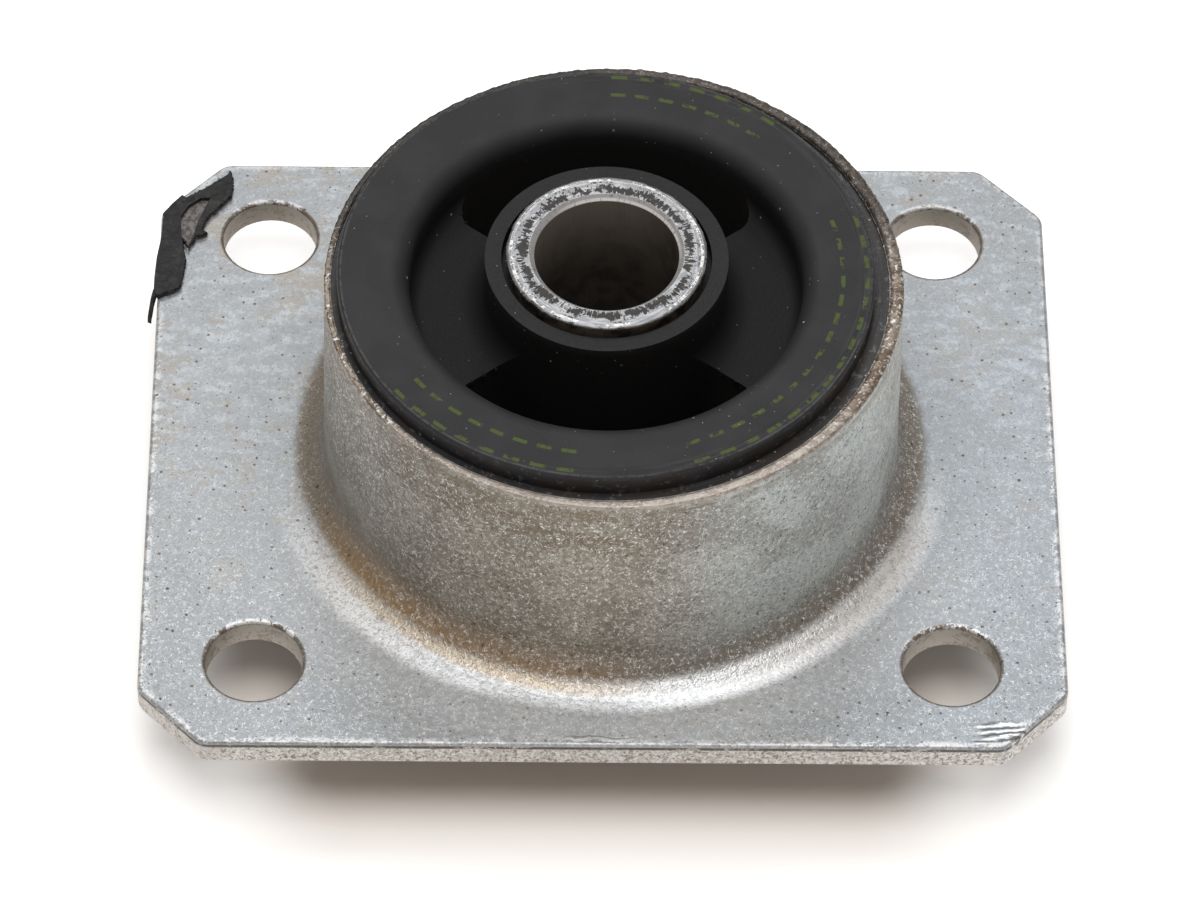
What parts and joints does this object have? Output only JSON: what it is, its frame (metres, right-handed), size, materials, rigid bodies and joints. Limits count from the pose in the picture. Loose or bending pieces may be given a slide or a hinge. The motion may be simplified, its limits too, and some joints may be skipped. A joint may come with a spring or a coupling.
{
  "type": "engine mount",
  "caption": "Square pressed-steel flange with a tall drawn collar, a rubber body with two kidney voids bonded inside it, and a thick steel sleeve for the centre bolt.",
  "frame": {"origin": "centre of the four bolt holes, on the flange's underside", "axes": "+Z along the sleeve, out of the collar; +X along the flange's longer side; +Y towards the side with a rubber void"},
  "size_m": [0.105, 0.0864, 0.0454],
  "materials": {
    "zinc_plated_sheet": "zinc plated, dull, lightly stained, with a worn sheared edge",
    "moulded_rubber": "matte black moulded rubber with dust",
    "sleeve_steel": "plated tube with a worn bright end face",
    "flash_rubber": "thin torn scrap of matte black rubber"
  },
  "bodies": {
    "root": {"mounting_flange": "zinc_plated_sheet", "rubber_body": "moulded_rubber", "inner_sleeve": "sleeve_steel", "corner_flash": "flash_rubber"}
  },
  "joints": []
}
